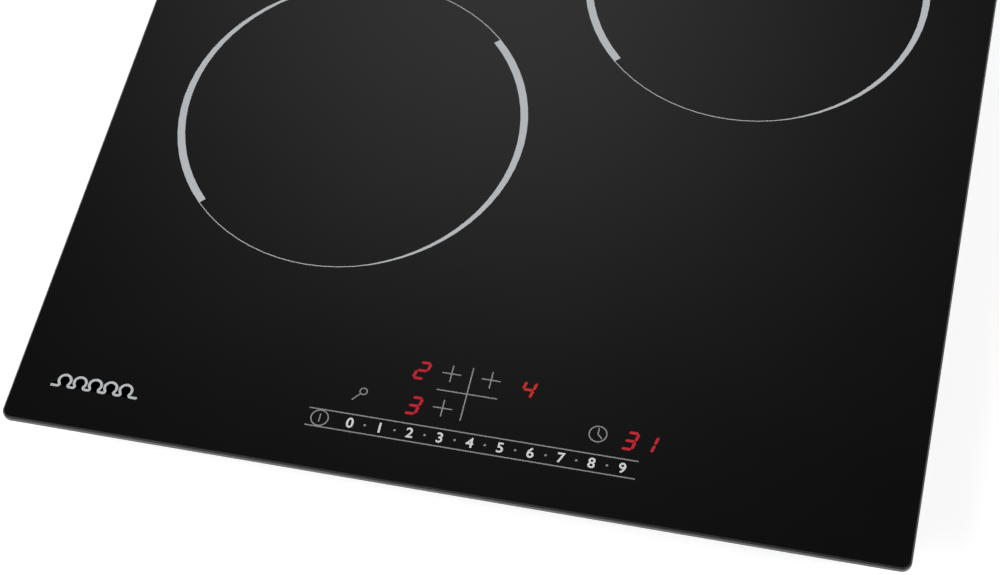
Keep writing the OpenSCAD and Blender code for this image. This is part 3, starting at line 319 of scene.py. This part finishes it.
def make_materials():
    bright = (0.78, 0.78, 0.80)
    return {
        "black_glass": black_glass(),
        "enamel_grey": enamel("enamel_grey", (0.42, 0.435, 0.45), (0.50, 0.52, 0.54)),
        "enamel_light": enamel("enamel_light", (0.20, 0.205, 0.21), (0.27, 0.275, 0.28)),
        "plate_foil": drawn_metal("plate_foil", (0.46, 0.465, 0.47), (0.3, 0.42), (30.0, 900.0, 900.0)),
        "enamel_bright": enamel("enamel_bright", (0.58, 0.585, 0.59), (0.66, 0.665, 0.67)),
        "seal_foam": foam(),
        "zinc_steel": galvanised("zinc_steel", (0.48, 0.49, 0.505), scale=260.0),
        "zinc_sheet": galvanised("zinc_sheet"),
        "screw_steel": drawn_metal("screw_steel", bright),
        "spring_steel": drawn_metal("spring_steel", (0.6, 0.6, 0.62)),
        "aluminium_sheet": drawn_metal("aluminium_sheet", (0.8, 0.81, 0.82), (0.28, 0.42),
                                       (30.0, 900.0, 900.0)),
        "aluminium_extrusion": drawn_metal("aluminium_extrusion", (0.72, 0.73, 0.75), (0.3, 0.45),
                                           (900.0, 20.0, 900.0)),
        "black_plastic": moulded("black_plastic", (0.022, 0.022, 0.024)),
        "dark_plastic": moulded("dark_plastic", (0.05, 0.05, 0.053)),
        "display_black": moulded("display_black", (0.008, 0.008, 0.01), (0.15, 0.25)),
        "epoxy_black": moulded("epoxy_black", (0.02, 0.02, 0.022), (0.5, 0.65)),
        "white_nylon": moulded("white_nylon", (0.78, 0.77, 0.72), (0.35, 0.5)),
        "circuit_board": circuit_board(),
        "ribbon_grey": moulded("ribbon_grey", (0.45, 0.45, 0.47)),
        "capacitor_yellow": moulded("capacitor_yellow", (0.62, 0.42, 0.08), (0.25, 0.4)),
        "silicone_lead": moulded("silicone_lead", (0.07, 0.07, 0.075), (0.55, 0.7)),
        "copper_litz": litz(),
        "ferrite_grey": mineral("ferrite_grey", (0.05, 0.05, 0.053), (0.09, 0.09, 0.095), 900.0, 0.6),
        "mica_sheet": mineral("mica_sheet", (0.52, 0.46, 0.34), (0.74, 0.68, 0.54), 220.0, 0.45),
        "white_ceramic": mineral("white_ceramic", (0.78, 0.77, 0.73), (0.86, 0.85, 0.82), 700.0, 0.4),
    }


def dress_nodes(materials):
    """Gives every CAD node the material of its slot."""
    for part in frame["record"]["subparts"]:
        node = frame["nodes"][part["node"]]
        node.data.materials.clear()
        node.data.materials.append(materials[part["material_slot"]])


# ---- Mesh helpers ----

def piece(name, mesh, material, body="housing"):
    """Adds a mesh piece that rides on a body and takes its finish from a slot."""
    mesh.name = name
    made = bpy.data.objects.new(name, mesh)
    bpy.context.scene.collection.objects.link(made)
    made.data.materials.append(material)
    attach(made, body)
    return made


def to_mesh(bm):
    """Turns a finished bmesh into a mesh."""
    bmesh.ops.recalc_face_normals(bm, faces=bm.faces)
    mesh = bpy.data.meshes.new("piece")
    bm.to_mesh(mesh)
    bm.free()
    return mesh


def smooth(made, angle=30):
    """Shades a piece smooth, apart from edges sharper than an angle in degrees."""
    made.data.shade_smooth()
    made.data.set_sharp_from_angle(angle=math.radians(angle))
    return made


def lathe(bm, profile, centre, axis, steps=24):
    """A closed solid of revolution; profile is (radius, height) pairs from the foot to the top, both on
    the axis."""
    turn = Vector((0, 0, 1)).rotation_difference(Vector(axis)).to_matrix()
    rings = []
    for radius, height in profile:
        count = 1 if radius == 0 else steps
        rings.append([bm.verts.new(Vector(centre) + turn @ Vector((
            radius * math.cos(math.tau * i / steps), radius * math.sin(math.tau * i / steps), height)))
            for i in range(count)])
    for low_ring, high_ring in zip(rings, rings[1:]):
        for i in range(steps):
            j = (i + 1) % steps
            corners = [low_ring[i % len(low_ring)], low_ring[j % len(low_ring)],
                       high_ring[j % len(high_ring)], high_ring[i % len(high_ring)]]
            bm.faces.new(list(dict.fromkeys(corners)))


def soft_box(bm, low, high, radius, segments=2):
    """A box between two corners, with rounded edges."""
    low, high = Vector(low), Vector(high)
    made = bmesh.ops.create_cube(bm, size=1.0)["verts"]
    for vert in made:
        vert.co = [(low[i] + high[i]) / 2 + vert.co[i] * (high[i] - low[i]) for i in range(3)]
    edges = {edge for vert in made for edge in vert.link_edges}
    bmesh.ops.bevel(bm, geom=list(edges), offset=radius, segments=segments, affect="EDGES", profile=0.5)


def sweep(bm, path, section, closed=True):
    """Sweeps a section, given as (outwards, upwards) pairs, along a level path."""
    count = len(path)
    rings = []
    for i, point in enumerate(path):
        before = path[(i - 1) % count] if closed else path[max(i - 1, 0)]
        after = path[(i + 1) % count] if closed else path[min(i + 1, count - 1)]
        along = (after - before).normalized()
        outwards = Vector((along.y, -along.x, 0))
        rings.append([bm.verts.new(point + outwards * o + Vector((0, 0, u))) for o, u in section])
    pairs = list(zip(rings, rings[1:]))
    if closed:
        pairs.append((rings[-1], rings[0]))
    else:
        bm.faces.new(rings[0])
        bm.faces.new(rings[-1][::-1])
    for one, other in pairs:
        for k in range(len(section)):
            n = (k + 1) % len(section)
            bm.faces.new((one[k], one[n], other[n], other[k]))


def prism(bm, outline, low, high):
    """A closed flat-topped solid over an outline that runs anticlockwise."""
    bottom = [bm.verts.new((x, y, low)) for x, y in outline]
    top = [bm.verts.new((x, y, high)) for x, y in outline]
    bm.faces.new(list(reversed(bottom)))
    bm.faces.new(top)
    count = len(outline)
    for i in range(count):
        j = (i + 1) % count
        bm.faces.new((bottom[i], bottom[j], top[j], top[i]))


# ---- Displays ----

SEGMENTS = {"1": "bc", "2": "abged", "3": "abgcd", "4": "fgbc"}
DIGIT_H = 10.6 * MM
DIGIT_W = 6.6 * MM
SEGMENT_W = 1.45 * MM
SEGMENT_GAP = 0.15 * MM
DIGIT_SLANT = math.tan(math.radians(13))
RED = (0.46, 0.006, 0.022)
ORANGE_RED = (0.46, 0.018, 0.008)
# Each lit digit with its place, in millimetres from the centre line and the glass's front edge
DISPLAYS = [("2", -24.6, 63.5, RED), ("3", -24.1, 43.4, RED), ("4", 29.3, 62.3, ORANGE_RED),
            ("3", 83.8, 43.4, RED), ("1", 93.4, 43.4, RED)]


def segment_outline(segment):
    """Outline of one segment of an upright digit centred on the origin: a bar with pointed ends."""
    half_w = (DIGIT_W - SEGMENT_W) / 2
    half_h = (DIGIT_H - SEGMENT_W) / 2
    ends = {
        "a": ((-half_w, half_h), (half_w, half_h)), "g": ((-half_w, 0), (half_w, 0)),
        "d": ((-half_w, -half_h), (half_w, -half_h)), "b": ((half_w, 0), (half_w, half_h)),
        "c": ((half_w, -half_h), (half_w, 0)), "f": ((-half_w, 0), (-half_w, half_h)),
        "e": ((-half_w, -half_h), (-half_w, 0)),
    }
    start, end = (Vector(p) for p in ends[segment])
    along = (end - start).normalized()
    across = Vector((-along.y, along.x)) * SEGMENT_W / 2
    tip = along * SEGMENT_W / 2
    gap = along * SEGMENT_GAP
    start, end = start + gap, end - gap
    return [start, start + tip - across, end - tip - across,
            end, end - tip + across, start + tip + across]


def lit_digits():
    """The lit seven-segment digits, as thin bright shapes level with the panel's print."""
    lit = {RED: lit_segment("lit_red", RED, 1.0),
           ORANGE_RED: lit_segment("lit_orange", ORANGE_RED, 1.0)}
    for index, (digit, x, y, colour) in enumerate(DISPLAYS):
        bm = bmesh.new()
        for segment in SEGMENTS[digit]:
            outline = [(x * MM + p.x + p.y * DIGIT_SLANT, FRONT_EDGE + y * MM + p.y)
                       for p in segment_outline(segment)]
            prism(bm, outline, GLASS_TOP, PRINT_TOP)
        piece(f"lit_digit_{index}", to_mesh(bm), lit[colour])


# ---- Panel print ----

SCALE_X0 = -52.6
SCALE_PITCH = 15.06
SCALE_Y = 28.2
SCALE_DIGIT_H = 5.4 * MM


def text_mesh(text, size, fatten):
    """Mesh outline of a short piece of text, centred on the origin."""
    curve = bpy.data.curves.new("text", "FONT")
    curve.body = text
    curve.size = size
    curve.offset = fatten
    curve.align_x = "CENTER"
    curve.align_y = "CENTER"
    curve.extrude = (PRINT_TOP - GLASS_TOP) / 2
    holder = bpy.data.objects.new("text", curve)
    bpy.context.scene.collection.objects.link(holder)
    mesh = bpy.data.meshes.new_from_object(holder.evaluated_get(bpy.context.evaluated_depsgraph_get()))
    bpy.data.objects.remove(holder)
    return mesh


def scale_digits(material):
    """The digits 0 to 9 printed along the slider."""
    for number in range(10):
        mesh = text_mesh(str(number), SCALE_DIGIT_H * 1.42, 0.00013)
        low_y = min(v.co.y for v in mesh.vertices)
        high_y = max(v.co.y for v in mesh.vertices)
        low_x = min(v.co.x for v in mesh.vertices)
        high_x = max(v.co.x for v in mesh.vertices)
        place = Vector(((SCALE_X0 + number * SCALE_PITCH) * MM - (low_x + high_x) / 2,
                        FRONT_EDGE + SCALE_Y * MM - (low_y + high_y) / 2, (GLASS_TOP + PRINT_TOP) / 2))
        mesh.transform(Matrix.Translation(place))
        piece(f"scale_digit_{number}", mesh, material)


def ribbon_outline(points, width):
    """Outline of a flat line of constant width along points."""
    left, right = [], []
    for i, point in enumerate(points):
        before = points[max(i - 1, 0)]
        after = points[min(i + 1, len(points) - 1)]
        along = (after - before).normalized()
        across = Vector((-along.y, along.x)) * width / 2
        left.append(point + across)
        right.append(point - across)
    return right + left[::-1]


def turtle(start, moves, step=12):
    """Points of a line that starts to the right; moves are lengths, or (radius, turn in degrees)."""
    points, heading = [start.copy()], 0.0
    for move in moves:
        if isinstance(move, tuple):
            radius, turn = move
            side = math.copysign(1, turn)
            centre = points[-1] + side * radius * Vector((-math.sin(heading), math.cos(heading)))
            count = max(2, round(abs(turn) / step))
            for i in range(1, count + 1):
                angle = heading + math.radians(turn) * i / count
                points.append(centre - side * radius * Vector((-math.sin(angle), math.cos(angle))))
            heading += math.radians(turn)
        else:
            points.append(points[-1] + move * Vector((math.cos(heading), math.sin(heading))))
    return points


def maker_mark(material):
    """A plain coil symbol at the front left, in place of a name: a line that rises into five loops."""
    loops, loop_r, foot_r, lean, line_w = 5, 3.1 * MM, 0.95 * MM, 128, 1.35 * MM
    left, right, base = -205.6 * MM, -160.5 * MM, 22.0 * MM
    loop_l = 2 * (loop_r + foot_r) * math.sin(math.radians(lean))
    between = 1.6 * MM
    lead = (right - left - loops * loop_l - (loops - 1) * between) / 2
    moves = [lead]
    for loop in range(loops):
        straight = between if loop < loops - 1 else lead
        moves += [(foot_r, lean), (loop_r, -2 * lean), (foot_r, lean), straight]
    points = turtle(Vector((left, FRONT_EDGE + base)), moves)
    outline = [(p.x, p.y) for p in ribbon_outline(points, line_w)]
    bm = bmesh.new()
    prism(bm, outline, GLASS_TOP, PRINT_TOP)
    bmesh.ops.triangulate(bm, faces=[f for f in bm.faces if len(f.verts) > 4])
    piece("generic_mark", to_mesh(bm), material)


# ---- Springs ----

COIL_TRAVEL = 3 * MM
SENSOR_TRAVEL = 2 * MM


def working_springs(material):
    """The springs under the coils and sensors, as copies of their CAD meshes that ride on the housing
    or on their coil; the CAD nodes are hidden.
    """
    for zone in ZONES:
        for node, joint, travel, body in (
                (f"coil_springs_{zone}", f"coil_float_{zone}", COIL_TRAVEL, "housing"),
                (f"sensor_spring_{zone}", f"sensor_press_{zone}", SENSOR_TRAVEL, f"coil_{zone}")):
            mesh = frame["nodes"][node].data.copy()
            mesh.materials.clear()
            made = piece(f"{node}_wire", mesh, material, body)
            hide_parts(node)
            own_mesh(made)


# ---- Details of the housing ----

WELD_R = 2.3 * MM


def weld(bm, centre, axis):
    """A spot weld: a shallow dimple with a raised rim."""
    lathe(bm, [(0, 0), (WELD_R * 1.15, 0), (WELD_R, 0.14 * MM), (WELD_R * 0.8, 0.04 * MM),
               (0, 0.04 * MM)], centre, axis, steps=20)


def corner_flanges(material):
    """Return flanges of the front and rear walls, folded over the side walls and spot welded."""
    width, thick, foot, gap = 12 * MM, 0.8 * MM, 1.5 * MM, 1.0 * MM
    wall_x = SIDE_HIGH.x
    top = FRAME_HIGH.z - 3 * MM
    for end, y, inwards, low in (("front", PAN_LOW.y, 1, 23 * MM), ("rear", PAN_HIGH.y, -1, 14 * MM)):
        for side, sign in (("left", -1), ("right", 1)):
            bm = bmesh.new()
            x_values = sorted((sign * wall_x, sign * (wall_x + thick)))
            y_values = sorted((y, y + inwards * width))
            soft_box(bm, (x_values[0], y_values[0], low), (x_values[1], y_values[1], top), 0.3 * MM)
            weld_y = y + inwards * width * 0.55
            for i in range(3):
                z = low + foot + gap + (top - low - 2 * (foot + gap)) * i / 2
                weld(bm, (sign * (wall_x + thick), weld_y, z), (sign, 0, 0))
            smooth(piece(f"corner_flange_{end}_{side}", to_mesh(bm), material))


def pressed_bead(name, material, start, end, out, radius=4.5 * MM, rise=0.9 * MM):
    """A stiffening bead on an upright wall: a low rounded bar with domed ends."""
    start, end, out = Vector(start), Vector(end), Vector(out)
    along = (end - start).normalized()
    steps, around = 10, 12
    bm = bmesh.new()
    rings = []
    angles = [math.pi / 2 * i / steps for i in range(1, steps + 1)]
    stations = [(-math.cos(angle), math.sin(angle)) for angle in angles]
    for offset, size in stations:
        rings.append((start + along * radius * offset, size))
    for offset, size in reversed(stations):
        rings.append((end - along * radius * offset, size))
    up = along.cross(out)
    made = []
    for centre, size in rings:
        made.append([bm.verts.new(centre + up * radius * size * math.cos(math.pi * k / around)
                                  + out * rise * size * math.sin(math.pi * k / around))
                     for k in range(around + 1)])
    for one, other in zip(made, made[1:]):
        for k in range(around):
            bm.faces.new((one[k], one[k + 1], other[k + 1], other[k]))
        bm.faces.new((one[around], one[0], other[0], other[around]))
    bm.faces.new(made[0])
    bm.faces.new(made[-1][::-1])
    smooth(piece(name, to_mesh(bm), material))


def pressed_beads(material):
    """Beads on the front wall and on the side walls."""
    front_z = (22 * MM + FRAME_HIGH.z - 15 * MM) / 2 + 2 * MM
    half_l = 120 * MM
    pressed_bead("bead_front", material, (-half_l, PAN_LOW.y, front_z), (half_l, PAN_LOW.y, front_z),
                 (0, -1, 0))
    for side, sign in (("left", -1), ("right", 1)):
        x = sign * SIDE_HIGH.x
        pressed_bead(f"bead_{side}", material, (x, -0.20, 20 * MM), (x, -0.02, 20 * MM), (sign, 0, 0),
                     3 * MM, 0.7 * MM)


def blank_plate(material):
    """A blank foil plate on the left side wall, with a raised border."""
    bm = bmesh.new()
    x = SIDE_LOW.x
    low, high = Vector((x - 0.25 * MM, -0.145, 0.0255)), Vector((x, -0.075, 0.0455))
    soft_box(bm, low, high, 0.1 * MM)
    border = 1.2 * MM
    for y0, y1, z0, z1 in ((low.y, high.y, low.z, low.z + border),
                           (low.y, high.y, high.z - border, high.z),
                           (low.y, low.y + border, low.z + border, high.z - border),
                           (high.y - border, high.y, low.z + border, high.z - border)):
        soft_box(bm, (low.x - 0.12 * MM, y0, z0), (low.x, y1, z1), 0.05 * MM, 1)
    smooth(piece("blank_plate", to_mesh(bm), material))


def rounded_path(half_x, low_y, high_y, radius, z, steps=8):
    """An anticlockwise level path round a rectangle with rounded corners."""
    points = []
    corners = [(half_x, low_y, -90), (half_x, high_y, 0), (-half_x, high_y, 90), (-half_x, low_y, 180)]
    for x, y, start in corners:
        centre = Vector((x - math.copysign(radius, x), y + (radius if y == low_y else -radius), z))
        for i in range(steps + 1):
            angle = math.radians(start + 90 * i / steps)
            points.append(centre + radius * Vector((math.cos(angle), math.sin(angle), 0)))
    return points


def sealant_bead(material):
    """Black silicone that bonds the support frame to the glass, as a wavering fillet along its edge."""
    z = GLASS_LOW.z
    path = rounded_path(FRAME_HIGH.x, FRAME_LOW.y, FRAME_HIGH.y, 2 * MM, z)
    fine = []
    for i, point in enumerate(path):
        after = path[(i + 1) % len(path)]
        count = max(1, int((after - point).length / (6 * MM)))
        fine += [point.lerp(after, k / count) for k in range(count)]
    bm = bmesh.new()
    section = [(-0.4, -0.02), (2.0, -0.02), (1.5, -0.6), (0.75, -1.0), (0.05, -1.15), (-0.4, -1.15)]
    sweep(bm, fine, [(o * MM, u * MM) for o, u in section])
    for vert in bm.verts:
        if vert.co.z < z - 0.3 * MM:
            wobble = 0.12 * MM * math.sin(vert.co.x * 310 + vert.co.y * 270)
            vert.co.z = min(vert.co.z + wobble, z - 0.25 * MM)
    smooth(piece("sealant_bead", to_mesh(bm), material), 50)


# ---- Stage ----

# ---- Stage ----

CAMERA_PLACE = (0.21524, -0.78951, 1.11221)
CAMERA_TURN = (32.632, 3.578, 12.612)
CAMERA_LENS = 89.95
SENSOR_W = 36.0


def make_camera():
    data = bpy.data.cameras.new("camera")
    data.lens = CAMERA_LENS
    data.sensor_width = SENSOR_W
    data.clip_start = 10 * MM
    camera = bpy.data.objects.new("camera", data)
    camera.location = CAMERA_PLACE
    camera.rotation_euler = [math.radians(a) for a in CAMERA_TURN]
    bpy.context.scene.collection.objects.link(camera)
    bpy.context.scene.camera = camera


# Half the floor's width; its glow is dimmed near the object as a painted shade, out to a share of that
# width, and white far away
FLOOR_HALF = 6.0
FLOOR_NEAR, FLOOR_FAR = 0.08, 0.35
FLOOR_DIM, FLOOR_BRIGHT = 0.55, 0.97


def make_floor():
    """A wide pale floor that reads as a white studio sweep; its glow is dimmed round the object as a
    painted shade.
    """
    bm = bmesh.new()
    bmesh.ops.create_grid(bm, x_segments=1, y_segments=1, size=FLOOR_HALF)
    mesh = bpy.data.meshes.new("floor")
    bm.to_mesh(mesh)
    bm.free()
    floor = bpy.data.objects.new("floor", mesh)
    floor.location.z = cad_low[2] - 0.0002
    m = Shader("floor")
    m.set(Base_Color=(0.75, 0.75, 0.75, 1), Roughness=0.9, Emission_Strength=1.0)
    distance = m.node("ShaderNodeVectorMath", operation="LENGTH")
    m.link(m.position(1 / FLOOR_HALF), distance.inputs[0])
    # Painted shade: the floor's glow is weaker near the object and rises to white far away.
    painted_shade_falloff = m.ramp(distance.outputs["Value"], [(FLOOR_NEAR, FLOOR_DIM), (FLOOR_FAR, FLOOR_BRIGHT)])
    m.link(painted_shade_falloff, m.bsdf.inputs["Emission Color"])
    m.bsdf.inputs["Specular IOR Level"].default_value = 0.0
    mesh.materials.append(m.material)
    bpy.context.scene.collection.objects.link(floor)


def area_light(name, place, target, size, power):
    data = bpy.data.lights.new(name, "AREA")
    data.shape = "RECTANGLE"
    data.size, data.size_y = size
    data.energy = power
    light = bpy.data.objects.new(name, data)
    light.location = place
    aim = Vector(target) - Vector(place)
    light.rotation_euler = aim.to_track_quat("-Z", "Y").to_euler()
    bpy.context.scene.collection.objects.link(light)
    return light


# Direction of the soft round light that the glass mirrors, its brightness and its spread
GLOW_WAY = Vector((-0.188, 0.620, 0.762)).normalized()
GLOW = 0.57
GLOW_SPREAD = 0.0096
# Brightness of the surroundings by height above the horizon: (sine of the elevation, grey)
SKY = [(0.0, 1.0), (0.07, 1.0), (0.16, 0.55), (0.35, 0.30), (0.60, 0.12), (0.74, 0.075), (1.0, 0.06)]


def make_world():
    """Studio surroundings: white at the horizon, dim overhead, with one soft round light behind."""
    world = bpy.data.worlds.new("studio")
    world.use_nodes = True
    tree = world.node_tree
    new, link = tree.nodes.new, tree.links.new
    way = new("ShaderNodeTexCoord").outputs["Generated"]
    split = new("ShaderNodeSeparateXYZ")
    link(way, split.inputs["Vector"])
    ramp = new("ShaderNodeValToRGB")
    link(split.outputs["Z"], ramp.inputs["Fac"])
    elements = ramp.color_ramp.elements
    while len(elements) < len(SKY):
        elements.new(0.5)
    for element, (place, grey) in zip(elements, SKY):
        element.position = place
        element.color = (grey, grey, grey, 1)
    value = new("ShaderNodeVectorMath")
    value.operation = "DOT_PRODUCT"
    value.inputs[1].default_value = GLOW_WAY
    link(way, value.inputs[0])
    result = value.outputs["Value"]
    for operation, other in (("SUBTRACT", 1.0), ("DIVIDE", GLOW_SPREAD), ("EXPONENT", 0.0),
                             ("MULTIPLY", GLOW)):
        step = new("ShaderNodeMath")
        step.operation = operation
        step.inputs[1].default_value = other
        link(result, step.inputs[0])
        result = step.outputs[0]
    total = new("ShaderNodeVectorMath")
    total.operation = "ADD"
    link(ramp.outputs["Color"], total.inputs[0])
    link(result, total.inputs[1])
    link(total.outputs["Vector"], tree.nodes["Background"].inputs["Color"])
    bpy.context.scene.world = world


def make_lights():
    """Soft boxes at the front left, front right and rear, clear of the main view's reflections."""
    area_light("key", (-1.6, -1.5, 2.3), (0, 0, 0), (1.5, 1.5), 66)
    area_light("fill", (2.0, -0.9, 2.3), (0, 0, 0), (1.2, 1.2), 26)
    area_light("rear", (1.1, 2.3, 2.3), (0, 0, 0), (1.2, 0.7), 30)


# ---- Build ----

make_camera()
materials = make_materials()
dress_nodes(materials)
lit_digits()
scale_digits(materials["enamel_bright"])
maker_mark(materials["enamel_grey"])
corner_flanges(materials["zinc_sheet"])
pressed_beads(materials["zinc_sheet"])
blank_plate(materials["plate_foil"])
sealant_bead(materials["seal_foam"])
working_springs(materials["spring_steel"])
make_floor()
make_world()
make_lights()
bpy.context.scene.view_settings.view_transform = "Standard"
